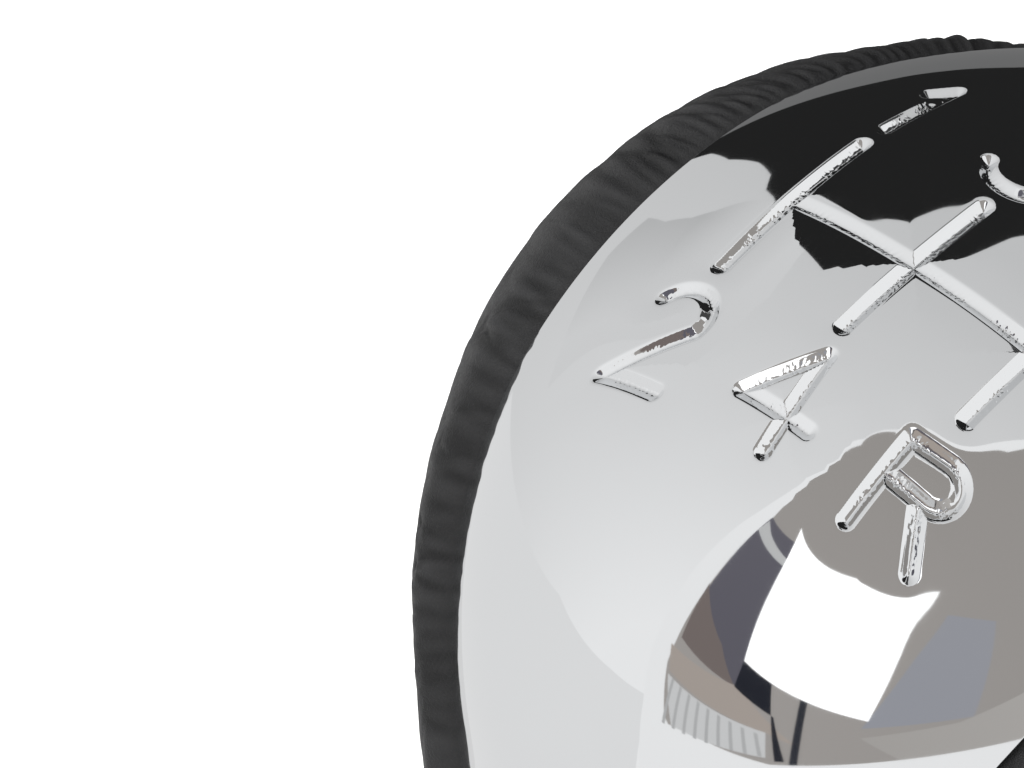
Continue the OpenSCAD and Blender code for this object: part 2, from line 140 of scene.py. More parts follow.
# The lift is the mean over these turns either way, and fades over this length down the grip
LIFT_MEAN = (-8, -4, 0, 4, 8)
LIFT_REACH = 8
# The lift and the folds begin this far from the edge, plus this much at the rear
LIFT_START = (0.8, 1.4)
FOLD_START = (0.3, 1.3)
# The folds fade next to a seam, in millimetres, and above the foot, in degrees
FOLD_TO_SEAM = 3
FOLD_TO_FOOT = 12
# Height and reach of the roll at a seam, and how far the turned edge slopes back, in degrees
SEAM_ROLL = 0.25
SEAM_ROLL_REACH = 0.12
TURN_BACK = 0.6
# The edge is tucked in at the rear and swells a little at the front
REAR_FROM = 7
REAR_OVER = 12
TUCK = 0.95
TUCK_REACH = 2.0
LIP = 0.3
LIP_REACH = 0.3
SWELL = 0.45
SWELL_START = 0.8
SWELL_REACH = 7
# The least and the most that the cover stands off the head's form
COVER_LOW = -1.3
COVER_HIGH = 2.4
# How far the pleats keep from a seam, and how far along the edge one of them counts
PLEAT_MARGIN = 0.6
PLEAT_REACH = 5
# Ranges of the random draws: pleats at the edge, low swellings, and creases down the grip
PLEAT_SIZE = (0.2, 1.0)
PLEAT_WIDTH = (0.11, 0.2)
PLEAT_BEGIN = (-0.8, 0.9)
PLEAT_NEXT = (0.4, 1.6)
SWELLING_NEXT = (0.45, 1.3)
SWELLING_WIDTH = (0.3, 0.9)
SWELLING_HEIGHT = (0.01, 0.035)
SWELLING_LENGTH = (6, 18)
CREASES = 110
CREASE_DOWN = (2, 34)
CREASE_LENGTH = (1.5, 6.0)
CREASE_WIDTH = (0.32, 0.7)
CREASE_DEPTH = (0.015, 0.045)
CREASE_SLOPE = (-1.8, 1.8)
STITCH_L = 3.4
STITCH_STEP = 4.0
STITCH_SLANT = 14.0
# How far a stitch stands off the leather, and how deep the grooves between its plies are
STITCH_OFF = 0.12
PLY_GROOVE = 0.09

# The neck ring
RING_Z = 6.5
RING_H = 6.0
RING_R = 16.8
SPIGOT_R = 11.1
COVER_FOOT_R = 15.5


class KnobSizes(bpy.types.PropertyGroup):
    """Sizes of what the looks add to the CAD frame."""

    stroke_depth: FloatProperty(
        name="Stroke depth",
        description="Depth of the engraved shift pattern",
        default=0.45 * MM,
        unit="LENGTH",
    )
    stroke_half: FloatProperty(
        name="Stroke half width",
        description="Distance from a stroke's middle to its brim",
        default=0.49 * MM,
        unit="LENGTH",
    )
    fine_step: FloatProperty(
        name="Fine step",
        description="Distance between the cap's vertices in and round the strokes",
        default=0.07 * MM,
        unit="LENGTH",
    )
    rim_radius: FloatProperty(
        name="Rim radius",
        description="Rounding of the cap's edge",
        default=0.18 * MM,
        unit="LENGTH",
    )
    pleat_depth: FloatProperty(
        name="Pleat depth",
        description="Depth of the deepest pleats next to the cap's edge",
        default=0.12 * MM,
        unit="LENGTH",
    )
    pleat_step: FloatProperty(
        name="Pleat step",
        description="Mean distance between pleats along the cap's edge",
        default=0.52 * MM,
        unit="LENGTH",
    )
    thread: FloatProperty(
        name="Thread",
        description="Diameter of the sewing thread",
        default=0.8 * MM,
        unit="LENGTH",
    )
    seed: IntProperty(
        name="Seed",
        description="Start of the random draws for the pleats",
        default=11,
    )


class KnobFinish(bpy.types.PropertyGroup):
    """Colours and finishes."""

    chrome: FloatVectorProperty(
        name="Chrome",
        description="Reflection colour of the plating",
        default=(0.80, 0.81, 0.82),
        subtype="COLOR",
        min=0.0,
        max=1.0,
    )
    chrome_roughness: FloatProperty(
        name="Chrome roughness",
        description="Roughness of the plating",
        default=0.035,
        subtype="FACTOR",
    )
    leather: FloatVectorProperty(
        name="Leather",
        description="Colour of the leather",
        default=(0.0138, 0.0138, 0.0143),
        subtype="COLOR",
        min=0.0,
        max=1.0,
    )
    leather_roughness: FloatProperty(
        name="Leather roughness",
        description="Roughness of the leather's finish",
        default=0.46,
        subtype="FACTOR",
    )
    thread: FloatVectorProperty(
        name="Thread",
        description="Colour of the sewing thread",
        default=(0.035, 0.035, 0.038),
        subtype="COLOR",
        min=0.0,
        max=1.0,
    )


class KnobStage(bpy.types.PropertyGroup):
    """The camera and the studio."""

    azimuth: FloatProperty(
        name="Azimuth",
        description="Direction in which the camera looks, round from the front",
        default=math.radians(41.5),
        subtype="ANGLE",
    )
    elevation: FloatProperty(
        name="Elevation",
        description="Height of the camera's line over the pattern",
        default=math.radians(45.0),
        subtype="ANGLE",
    )
    distance: FloatProperty(
        name="Distance",
        description="From the camera to the middle of the pattern",
        default=0.613,
        unit="LENGTH",
    )
    lens: FloatProperty(
        name="Lens",
        description="Focal length of the camera, in millimetres",
        default=506.0,
    )
    aim_right: FloatProperty(
        name="Aim right",
        description="How far the pattern lies to the right of the picture's middle",
        default=17.12 * MM,
        unit="LENGTH",
    )
    aim_up: FloatProperty(
        name="Aim up",
        description="How far the pattern lies above the picture's middle",
        default=5.2 * MM,
        unit="LENGTH",
    )
    room_light: FloatProperty(
        name="Room light",
        description="Strength of the even white light from all sides",
        default=0.95,
    )
    lamp_power: FloatProperty(
        name="Lamp power",
        description="Power of the large soft lamp, in watts",
        default=14.0,
    )


def sizes():
    return bpy.context.scene.knob_sizes


def finish():
    return bpy.context.scene.knob_finish


# The head's form, in millimetres


def drawn_in(th):
    return CORNER_CUT * (1 - np.cos(4 * np.radians(th))) / 2


def form(th, v, off=0.0):
    """Points of the head's form: th round it, v down it from the top, off outside it."""
    th = np.asarray(th, float)
    v = np.asarray(v, float)
    above = v <= 90
    t = np.clip((v - 90) / 90, 0, 1)
    fall = np.where(above, 1.0, (1 + np.cos(np.pi * t**WAIST_POWER)) / 2)
    down = np.radians(np.clip(v, 0, 90))
    s = np.where(above, np.sin(down) ** (2 / DOME_POWER), 1.0)
    c = np.where(above, np.maximum(np.cos(down), 0) ** (2 / DOME_POWER), 0.0)
    k = s * (1 - drawn_in(th) * fall)
    half_w = NECK_R + (HEAD_HALF_W - NECK_R) * fall + off
    half_l = NECK_R + (HEAD_HALF_L - NECK_R) * fall + off
    a = np.radians(th)
    z = np.where(above, EQ_Z + (DOME_H + off) * c, EQ_Z - t * BODY_H)
    return np.stack([half_w * k * np.cos(a), half_l * k * np.sin(a), z], -1)


def plan_to_form(x, y):
    """The angles th and v of the form's point over a point of the plan, on the dome."""
    th = np.degrees(np.arctan2(y / HEAD_HALF_L, x / HEAD_HALF_W))
    rho = np.hypot(x / HEAD_HALF_W, y / HEAD_HALF_L) / (1 - drawn_in(th))
    v = np.degrees(np.arcsin(np.clip(rho, 0, 1) ** (DOME_POWER / 2)))
    return th, v


def dome_z(x, y):
    th = np.degrees(np.arctan2(y / HEAD_HALF_L, x / HEAD_HALF_W))
    rho = np.hypot(x / HEAD_HALF_W, y / HEAD_HALF_L) / (1 - drawn_in(th))
    return EQ_Z + DOME_H * np.maximum(1 - rho**DOME_POWER, 0) ** (1 / DOME_POWER)


def edge_z(x, y):
    """Height of the cap's edge: an arc with straight tangents, blended into a line."""
    t = (y - EDGE_ARC_Y) / EDGE_ARC_R
    u = np.minimum(np.abs(t), 0.95)
    w = np.sqrt(1 - u * u)
    arc = KNOB_H - EDGE_DROP - EDGE_ARC_R * (1 - w + (np.abs(t) - u) * u / w)
    share = (y + HEAD_HALF_L) / (2 * HEAD_HALF_L)
    line = KNOB_H - TAIL_DROP + (TAIL_DROP - LIP_DROP) * share
    right_share = (x + HEAD_HALF_W) / (2 * HEAD_HALF_W)
    blend = (arc + line + np.sqrt((arc - line) ** 2 + EDGE_BLEND**2)) / 2
    return blend - SIDE_DROP * right_share**2


def edge_v(th):
    """How far down from the top the cap's edge lies at each turn, found by halving."""
    low = np.full(np.shape(th), 5.0)
    high = np.full(np.shape(th), 150.0)
    halvings = 44
    for _ in range(halvings):
        mid = (low + high) / 2
        p = form(th, mid)
        over = p[..., 2] > edge_z(p[..., 0], p[..., 1])
        low = np.where(over, mid, low)
        high = np.where(over, high, mid)
    return (low + high) / 2


def hill(away, reach):
    """One in the middle, fading to nought over the reach."""
    return np.exp(-((away / reach) ** 2))


def unit(a):
    return a / np.maximum(np.linalg.norm(a, axis=-1, keepdims=True), 1e-12)


def form_normal(th, v):
    step = 0.05
    down = form(th, v + step) - form(th, v - step)
    round_ = form(th + step, v) - form(th - step, v)
    return unit(np.cross(down, round_))


# The shift pattern, as lines in the plan round its middle


def arc_line(centre, rx, ry, first, last, count=40):
    a = np.radians(np.linspace(first, last, count + 1))
    return [(centre[0] + rx * math.cos(t), centre[1] + ry * math.sin(t)) for t in a]


def digit_lines():
    dw = DIGIT_W / 2
    dh = DIGIT_H / 2
    one = [[(-0.25 * dw, 0.35 * dh), (0.25 * dw, 0.7 * dh), (0.05 * dw, -dh)]]
    two = [arc_line((0.1, 0.95), 1.5, 1.5, 150, -15) + [(-1.3, -2.3), (1.95, -2.5)]]
    three = [
        arc_line((-0.1 * dw, dh / 2), 0.95 * dw, dh / 2, 150, -90),
        arc_line((-0.1 * dw, -dh / 2), 1.05 * dw, dh / 2, 90, -165),
    ]
    four = [[(1.25, -2.5), (0.5, 2.45), (-1.5, -0.8), (2.2, -0.8)]]
    five = [
        [(0.9 * dw, dh), (-0.7 * dw, dh), (-0.8 * dw, 0.1 * dh)]
        + arc_line((-0.1 * dw, -0.35 * dh), 1.1 * dw, 0.65 * dh, 120, -145)
    ]
    letter = [
        [(-1.1, -2.5), (-1.2, 1.8), (0.8, 2.1)]
        + arc_line((0.9, 1.1), 1.05, 1.0, 80, -80)
        + [(-1.15, -0.05)],
        [(0.9, -0.2), (2.15, -2.15)],
    ]
    left, right = -LANE_STEP, LANE_STEP
    return [
        (one, left, ROW_STEP),
        (three, 0, ROW_STEP),
        (five, right, ROW_STEP),
        (two, left, -ROW_STEP),
        (four, 0, -ROW_STEP),
        (letter, right, -ROW_STEP),
    ]


def segments(lines):
    first = [p for line in lines for p in line[:-1]]
    last = [p for line in lines for p in line[1:]]
    shift = np.array([0, -PATTERN_BACK])
    return np.array(first) + shift, np.array(last) + shift


def lane_lines():
    lines = [[(k * LANE_STEP, LANE_HALF), (k * LANE_STEP, -LANE_HALF)] for k in (-1, 0, 1)]
    return lines + [[(-LANE_STEP, 0), (LANE_STEP, 0)]]


def placed_digits():
    placed = []
    for digit, x, y in digit_lines():
        placed += [[(px + x, py + y) for px, py in line] for line in digit]
    return placed


LANES = segments(lane_lines())
DIGITS = segments(placed_digits())


def line_distance(x, y, ends):
    """Distance in the plan from each point to the nearest of these lines."""
    p = np.stack([x, y], -1)
    along = ends[1] - ends[0]
    length2 = np.maximum((along**2).sum(-1), 1e-12)
    out = np.empty(len(p))
    chunk = 5000
    for i in range(0, len(p), chunk):
        rel = p[i : i + chunk, None, :] - ends[0][None]
        t = np.clip((rel * along).sum(-1) / length2, 0, 1)
        out[i : i + chunk] = np.linalg.norm(rel - t[..., None] * along, axis=-1).min(1)
    return out


def stroke_distance(x, y):
    return np.minimum(line_distance(x, y, LANES), line_distance(x, y, DIGITS))


def sunk(lane, digit):
    """Depth of the plating under the dome, by the distance from a lane's and a digit's middle."""
    depth = sizes().stroke_depth / MM
    half = sizes().stroke_half / MM

    def groove(away, share):
        wide = share * half
        left = wide - np.sqrt(away**2 + FLOOR_ROUND**2)
        return share * depth * (left + np.sqrt(left**2 + BRIM_ROUND**2)) / (2 * wide)

    cut = (groove(lane, 1.0) ** 6 + groove(digit, DIGIT_SHARE) ** 6) ** (1 / 6)
    return cut + np.hypot(LANE_SAG * hill(lane, SAG_REACH), DIGIT_SAG * hill(digit, SAG_REACH))


def casting(x, y):
    """Small irregularities of the mould in the floor of the strokes, as crossing waves."""
    wide = np.sin(3.1 * x - 2.3 * y) + np.sin(1.7 * x + 3.9 * y + 1)
    first = np.sin(15 * x + 4 * y + 2 * wide) * np.sin(-6 * x + 13 * y + 1)
    second = np.sin(27 * x - 9 * y + 2) * np.sin(11 * x + 24 * y + 3 * wide)
    return CAST_RELIEF * (first + 0.6 * second) * (0.6 + 0.4 * wide)


# Meshes


def add_object(name, data):
    obj = bpy.data.objects.new(name, data)
    bpy.context.scene.collection.objects.link(obj)
    return obj


def new_object(name, verts, faces, smooth=True):
    mesh = bpy.data.meshes.new(name)
    mesh.from_pydata([tuple(p) for p in np.asarray(verts) * MM], [], faces)
    mesh.validate()
    mesh.polygons.foreach_set("use_smooth", [smooth] * len(mesh.polygons))
    return add_object(name, mesh)


def cut_plane(points, count, near):
    """The plane cut into triangles over these points, within the border of the first of them."""
    border = [(i, (i + 1) % count) for i in range(count)]
    return delaunay_2d_cdt([Vector(p) for p in points], border, [], 1, near)


def grid_faces(rows, cols, closed):
    """Quads of a grid of rows by cols vertices."""
    faces = []
    last = cols if closed else cols - 1
    for i in range(rows - 1):
        for j in range(last):
            a = i * cols + j
            b = i * cols + (j + 1) % cols
            faces.append((a, b, b + cols, a + cols))
    return faces


def net_points(step, half_x, low_y, high_y):
    """Points of an even net, each with six neighbours one step away."""
    rows = int((high_y - low_y) / (step * NET_ROW)) + 1
    cols = int(2 * half_x / step) + 1
    j, i = np.meshgrid(np.arange(cols), np.arange(rows))
    x = -half_x + step * (j + 0.5 * (i % 2))
    y = low_y + step * NET_ROW * i
    return x.ravel(), y.ravel()


def flat_map(th, v):
    """The plane in which the cap is cut into triangles: v as the distance from the pole."""
    a = np.radians(th)
    return np.stack([v * np.cos(a), v * np.sin(a)], -1)


def cap_points(th, v):
    """The plated surface and its normals, with the pattern sunk into it."""
    base = form(th, v)
    normal = form_normal(th, np.maximum(v, 0.5))
    near = v < PATTERN_V
    x, y = base[near, 0], base[near, 1]
    h = 0.02

    def sunk_surface(px, py):
        z = dome_z(px, py)
        gx = (dome_z(px + h, py) - dome_z(px - h, py)) / (2 * h)
        gy = (dome_z(px, py + h) - dome_z(px, py - h)) / (2 * h)
        n = unit(np.stack([-gx, -gy, np.ones_like(gx)], -1))
        lane = line_distance(px, py, LANES)
        digit = line_distance(px, py, DIGITS)
        on_floor = hill(np.minimum(lane, digit), CAST_REACH)
        depth = sunk(lane, digit) + on_floor * casting(px, py)
        return np.stack([px, py, z], -1) - n * depth[:, None]

    points = base.copy()
    points[near] = sunk_surface(x, y)
    dx = sunk_surface(x + h, y) - sunk_surface(x - h, y)
    dy = sunk_surface(x, y + h) - sunk_surface(x, y - h)
    normal[near] = unit(np.cross(dx, dy))
    return points, normal


def quad_ring(ring, new_ring):
    """Quads between two closed rings of as many vertices."""
    cols = len(ring)
    turns = ((i, (i + 1) % cols) for i in range(cols))
    return [(ring[i], new_ring[i], new_ring[j], ring[j]) for i, j in turns]


def face_places(th, border_v):
    """Where the open face's vertices lie: fine round the strokes, in rings elsewhere."""
    fine = sizes().fine_step / MM
    places = [flat_map(th, border_v)]
    reach_x = LANE_STEP + DIGIT_W + NET_MARGIN[0]
    reach_y = ROW_STEP + DIGIT_H / 2 + NET_MARGIN[1]
    bands = ((fine, -1, FINE_TO), (2 * fine, FINE_TO, MIDDLE_TO), (4 * fine, MIDDLE_TO, COARSE_TO))
    for step, near, far in bands:
        x, y = net_points(step, reach_x, -PATTERN_BACK - reach_y, -PATTERN_BACK + reach_y)
        d = stroke_distance(x, y)
        keep = (d >= near) & (d < far)
        places.append(flat_map(*plan_to_form(x[keep], y[keep])))
    closed_th = np.append(th, 360)
    closed_v = np.append(border_v, border_v[0])
    for j in range(1, CAP_ROWS):
        cols = max(RING_LEAST, int(RING_COLS * min(1, RING_GROWTH * j / CAP_ROWS)))
        ring_th = np.arange(cols) * 360 / cols + (j % 2) * 180 / cols
        ring_v = np.interp(ring_th, closed_th, closed_v) * j / CAP_ROWS
        p = form(ring_th, ring_v)
        keep = (ring_v > RINGS_V) | (stroke_distance(p[:, 0], p[:, 1]) >= COARSE_TO)
        places.append(flat_map(ring_th[keep], ring_v[keep]))
    return np.concatenate(places)


def cut_face(th, border_v):
    """The open face's places cut into triangles, its faces, and the ring of its border."""
    out = cut_plane(face_places(th, border_v), len(th), 1e-7)
    made = np.array([tuple(p) for p in out[0]])
    faces = [tuple(f) for f in out[2]]
    to_new = {}
    for new, olds in enumerate(out[3]):
        for old in olds:
            to_new[old] = new
    return made, faces, [to_new[i] for i in range(len(th))]


def set_normals(obj, normals):
    """Give the first vertices these normals, with the winding of the faces outwards."""
    mesh = obj.data
    count = len(normals)
    auto = np.zeros(len(mesh.vertices) * 3)
    mesh.vertices.foreach_get("normal", auto)
    auto = auto.reshape(-1, 3)
    if (auto[:count] * normals).sum() < 0:
        mesh.flip_normals()
        auto = -auto
    auto[:count] = normals
    mesh.normals_split_custom_set_from_vertices([tuple(n) for n in auto])


def build_cap():
    rim = sizes().rim_radius / MM
    th = np.arange(CAP_COLS) * 360 / CAP_COLS
    ev = edge_v(th)
    slope = np.linalg.norm(form(th, ev + 0.5) - form(th, ev - 0.5), axis=-1)
    rim_v = rim / slope
    border_v = ev - rim_v
    made, faces, ring = cut_face(th, border_v)
    made_v = np.hypot(made[:, 0], made[:, 1])
    made_th = np.degrees(np.arctan2(made[:, 1], made[:, 0]))
    points, normals = cap_points(made_th, made_v)
    verts = [points]
    count = len(points)

    def add_ring(p):
        nonlocal ring, count
        verts.append(p)
        new_ring = list(range(count, count + len(p)))
        count += len(p)
        faces.extend(quad_ring(ring, new_ring))
        ring = new_ring

    for k in range(1, RIM_SECTIONS + 1):
        a = math.pi / 2 * k / RIM_SECTIONS
        add_ring(form(th, border_v + rim_v * math.sin(a), -rim * (1 - math.cos(a))))
    add_ring(form(th, ev, -CAP_T))
    # The underside goes on with fewer vertices in each ring
    under = ring
    th = th[::UNDER_SKIP]
    ev = ev[::UNDER_SKIP]
    verts.append(form(th, ev * (1 - 0.5 / UNDER_ROWS), -CAP_T))
    ring = list(range(count, count + len(th)))
    count += len(th)
    for i in range(len(th)):
        part = [under[(i * UNDER_SKIP + m) % CAP_COLS] for m in range(UNDER_SKIP + 1)]
        faces.append(tuple(part[::-1] + [ring[i], ring[(i + 1) % len(th)]])[::-1])
    for k in range(1, UNDER_ROWS):
        add_ring(form(th, ev * (1 - k / UNDER_ROWS), -CAP_T))
    verts.append(np.array([[0, 0, KNOB_H - CAP_T]]))
    faces += [(ring[i], count, ring[(i + 1) % len(th)]) for i in range(len(th))]
    obj = new_object("cap_chrome", np.concatenate(verts), faces)
    set_normals(obj, normals)
    return obj


# Leather


def cover_off(v, ev):
    """How far the plain cover stands off the form: it rolls up from the cap's edge."""
    w = np.clip((v - ev) / LEATHER_RISE, 0, 1)
    roll = np.sqrt(np.maximum(1 - (1 - w) ** 2, 0))
    return -LEATHER_TUCK + (LEATHER_PROUD + LEATHER_TUCK) * roll


def edge_lengths():
    """Length along the cap's edge at each degree round the head."""
    th = np.linspace(0, 720, 1441)
    p = form(th, edge_v(th))
    steps = np.linalg.norm(np.diff(p, axis=0), axis=-1)
    return th, np.concatenate([[0], np.cumsum(steps)])


def valley(t):
    """A fold's section: a narrow valley with a low crest at each side."""
    return -np.exp(-np.abs(t) ** 1.6) + 0.42 * hill(t - 1.7, 1.0) + 0.3 * hill(t + 1.9, 1.2)


def pleats(s, q, low, high, rng, lean_at):
    """Folds that run from the cap's edge down the grip: s along the edge, q away from it."""
    depth = sizes().pleat_depth / MM
    step = sizes().pleat_step / MM
    out = np.zeros(q.shape)
    dq = np.maximum(q, 0)
    at = low + PLEAT_MARGIN
    while at < high - PLEAT_MARGIN:
        size = rng.uniform(*PLEAT_SIZE)
        width = rng.uniform(*PLEAT_WIDTH) * (0.7 + 0.5 * size)
        length = 1.6 + 6.5 * size * rng.uniform(0.5, 1.3)
        lean = np.interp(at, s, lean_at) + rng.normal(0.0, 0.1)
        bow = rng.normal(0.0, 0.02)
        begin = rng.uniform(*PLEAT_BEGIN)
        near = np.abs(s - at) < PLEAT_REACH
        d = dq[:, near]
        line = at + lean * d + bow * d**2
        wide = width * (1 + 0.25 * d)
        fade = np.exp(-((d / length) ** 1.7)) * np.clip((d - begin + 0.9) / 0.9, 0, 1)
        out[:, near] += depth * (0.3 + 0.7 * size) * fade * valley((s[near] - line) / wide)
        at += step * rng.uniform(*PLEAT_NEXT)
    at = low
    while at < high:
        width = rng.uniform(*SWELLING_WIDTH)
        tall = rng.uniform(*SWELLING_HEIGHT) * rng.choice([-1, 1])
        lean = np.interp(at, s, lean_at) + rng.normal(0.0, 0.15)
        length = rng.uniform(*SWELLING_LENGTH)
        line = at + lean * dq
        fade = hill(dq, length) * np.clip(dq / 1.5, 0.2, 1)
        out += tall * fade * hill(s - line, width * (1 + 0.04 * dq))
        at += rng.uniform(*SWELLING_NEXT)
    return out


def wrinkles(s, q, low, high, rng):
    """Shallow slanted creases further down the grip."""
    out = np.zeros(q.shape)
    for _ in range(CREASES):
        at = rng.uniform(low, high)
        down = rng.uniform(*CREASE_DOWN)
        slope = rng.uniform(*CREASE_SLOPE)
        length = rng.uniform(*CREASE_LENGTH)
        width = rng.uniform(*CREASE_WIDTH)
        tall = rng.uniform(*CREASE_DEPTH)
        du = s - at
        dq = q - down
        along = (du + slope * dq) / math.hypot(1, slope)
        across = (dq - slope * du) / math.hypot(1, slope)
        out -= tall * hill(along, length) * hill(across, width)
    return out


def build_leather(name, first, last, seed):
    """Half of the cover, from one seam to the other, with its turned edges."""
    cols = COVER_COLS
    rows = COVER_ROWS
    th = first + (last - first) * np.linspace(0, 1, cols)
    ev = edge_v(th)
    start = ev + 0.5 * EDGE_GAP
    share = (np.arange(rows) / (rows - 1)) ** ROW_EASE
    v = start + (180 - start) * share[:, None]
    table_th, table_s = edge_lengths()
    s = np.interp(th, table_th, table_s)
    plain = form(np.broadcast_to(th, v.shape), v, 0)
    steps = np.linalg.norm(np.diff(plain, axis=0), axis=-1)
    q = np.concatenate([np.zeros((1, cols)), np.cumsum(steps, 0)])
    rng = np.random.default_rng(sizes().seed + seed)
    edge = form(th, ev)
    along = unit(np.gradient(edge, axis=0))
    down = unit(form(th, ev + 1) - edge)
    square = -(along * down).sum(-1)
    folds = pleats(s, q, s[0], s[-1], rng, square) + wrinkles(s, q, s[0], s[-1], rng)
    from_seam = np.minimum(np.abs(th - first), np.abs(th - last))
    from_seam_mm = np.minimum(s - s[0], s[-1] - s)
    dip = SEAM_PULL * hill(from_seam, SEAM_WIDTH)
    rear = np.clip((REAR_FROM - edge[:, 1]) / REAR_OVER, 0, 1)
    # The right half mirrors the left one
    side_th = np.where(th > 270, 540 - th, th)
    lift = sum(np.interp(side_th + d, *zip(*EDGE_LIFT)) for d in LIFT_MEAN) / len(LIFT_MEAN)
    under = rear * TUCK * hill(q, TUCK_REACH) + LIP * hill(q, LIP_REACH)
    under -= (1 - rear) * SWELL * (1 - hill(q, SWELL_START)) * hill(q, SWELL_REACH)
    clear = 1 - hill(q, FOLD_START[0] + FOLD_START[1] * rear)
    tight = np.clip(from_seam_mm / FOLD_TO_SEAM, 0, 1)
    tight = tight * tight * (3 - 2 * tight)
    foot = np.clip((180 - v) / FOLD_TO_FOOT, 0, 1)
    relief = folds * tight * foot * clear
    bulge = cover_off(v, ev) + relief - under - dip
    begun = 1 - hill(q, LIFT_START[0] + LIFT_START[1] * rear)
    bulge += lift * begun * hill(q, LIFT_REACH)
    edge_roll = SEAM_ROLL * np.exp(-from_seam_mm / SEAM_ROLL_REACH)
    off = np.clip(bulge - edge_roll, COVER_LOW, COVER_HIGH)
    points = form(np.broadcast_to(th, v.shape), v, off)
    verts = [points.reshape(-1, 3)]
    faces = grid_faces(rows, cols, False)
    count = rows * cols

    def flange(index, inner):
        nonlocal count
        ring = list(range(count, count + len(index)))
        verts.append(inner)
        count += len(index)
        faces.extend((index[i], ring[i], ring[i + 1], index[i + 1]) for i in range(len(index) - 1))

    top = list(range(cols))
    flange(top, form(th, v[0] - TURN_BACK, off[0] - LEATHER_T))
    bottom = [(rows - 1) * cols + j for j in range(cols)][::-1]
    flange(bottom, form(th, v[-1], off[-1] - LEATHER_T)[::-1])
    left = [i * cols for i in range(rows)][::-1]
    flange(left, form(np.full(rows, th[0]), v[:, 0], off[:, 0] - LEATHER_T)[::-1])
    right = [i * cols + cols - 1 for i in range(rows)]
    flange(right, form(np.full(rows, th[-1]), v[:, -1], off[:, -1] - LEATHER_T))
    obj = new_object(name, np.concatenate(verts), faces)
    # The folds' height, kept for the painted shade in the valleys and the painted light and rubbing
    # wear on the crests
    shade_and_wear = obj.data.attributes.new(FOLD_SHADE_AND_WEAR, "FLOAT", "POINT")
    shade_and_wear.data.foreach_set("value", np.concatenate([relief.ravel(), np.zeros(count - rows * cols)]))
    return obj


# Stitches and the ring


def stitch_mesh(centre, along, out, length, radius):
    """One stitch: a laid thread of three plies that dives into the leather at both ends."""
    sections = 44
    sides = 18
    t = np.linspace(-1, 1, sections)
    side = np.cross(along, out)
    drop = -1.15 * radius * np.abs(t) ** 5
    line = centre + np.outer(t * length / 2, along) + np.outer(drop, out)
    verts = []
    for k in range(sections):
        a = np.linspace(0, 2 * math.pi, sides, endpoint=False)
        end = math.sqrt(max(1 - abs(t[k]) ** 9, 0.02))
        ply = 1 + PLY_GROOVE * np.abs(np.cos(1.5 * (a + t[k] * length * 1.5))) - PLY_GROOVE
        r = radius * end * ply
        verts.append(line[k] + np.outer(r * np.cos(a), side) + np.outer(r * np.sin(a), out))
    faces = grid_faces(sections, sides, True)
    faces.append(tuple(range(sides)))
    faces.append(tuple(range((sections - 1) * sides, sections * sides))[::-1])
    return np.concatenate(verts), faces


def build_stitches(name, side):
    th = side * 90.0
    ev = float(edge_v(np.array(th)))
    top = form(th, ev + LEATHER_RISE)
    count = int((top[2] - COVER_Z - 2 * STITCH_STEP) // STITCH_STEP)
    radius = sizes().thread / 2 / MM
    verts = []
    faces = []
    for i in range(count + 1):
        v = 180 - (180 - ev - LEATHER_RISE) * (i + 1) / (count + 2)
        centre = form(th, v, cover_off(v, ev) + radius + STITCH_OFF)
        normal = form_normal(np.array(th), np.array(v))
        out = unit(np.array([0, normal[1], normal[2]]))
        slant = math.radians(STITCH_SLANT)
        down = np.cross(out, np.array([1.0, 0, 0]))
        down = down if down[2] < 0 else -down
        along = unit(math.cos(slant) * np.array([1.0, 0, 0]) + math.sin(slant) * down)
        along = unit(along - out * along.dot(out))
        p, f = stitch_mesh(centre, along, out, STITCH_L, radius)
        base = sum(len(x) for x in verts)
        verts.append(p)
        faces += [tuple(base + k for k in face) for face in f]
    return new_object(name, np.concatenate(verts), faces)


def turned(name, profile, sides=240):
    """A closed section, as radius and height, turned round the lever's axis."""
    a = np.linspace(0, 2 * math.pi, sides, endpoint=False)
    rings = [np.stack([r * np.cos(a), r * np.sin(a), np.full(sides, z)], -1) for r, z in profile]
    rings = np.concatenate(rings)
    faces = grid_faces(len(profile), sides, True)
    last = (len(profile) - 1) * sides
    faces += [(last + j, last + (j + 1) % sides, (j + 1) % sides, j) for j in range(sides)]
    return new_object(name, rings, faces)


def ring_profile():
    lip_in = COVER_FOOT_R + 0.2
    lip_h = 1.2
    bulge = (RING_H + lip_h) / 2
    mid = RING_Z + bulge
    ease = 0.15
    bore = SPIGOT_R + 0.1
    points = [(bore, RING_Z + ease), (bore + ease, RING_Z), (RING_R - 1, RING_Z)]
    for a in np.radians(np.linspace(-78, 78, 33)):
        points.append((RING_R - 1 + math.cos(a), mid + bulge * math.sin(a)))
    top = RING_Z + RING_H + lip_h
    points += [(RING_R - 1, top), (lip_in + ease, top), (lip_in, top - ease)]
    points += [(lip_in, RING_Z + RING_H), (bore, RING_Z + RING_H)]
    return points


# Materials


def nodes_of(name, kind="ShaderNodeBsdfPrincipled"):
    mat = bpy.data.materials.new(name)
    mat.use_nodes = True
    tree = mat.node_tree
    tree.nodes.clear()
    shader = tree.nodes.new(kind)
    output = tree.nodes.new("ShaderNodeOutputMaterial")
    tree.links.new(shader.outputs[0], output.inputs["Surface"])
    place = tree.nodes.new("ShaderNodeTexCoord")
    return mat, tree, shader, place.outputs["Object"]


def noise(tree, place, scale, detail=3.0, roughness=0.5):
    node = tree.nodes.new("ShaderNodeTexNoise")
    node.inputs["Scale"].default_value = scale
    node.inputs["Detail"].default_value = detail
    node.inputs["Roughness"].default_value = roughness
    tree.links.new(place, node.inputs["Vector"])
    return node.outputs["Fac"]


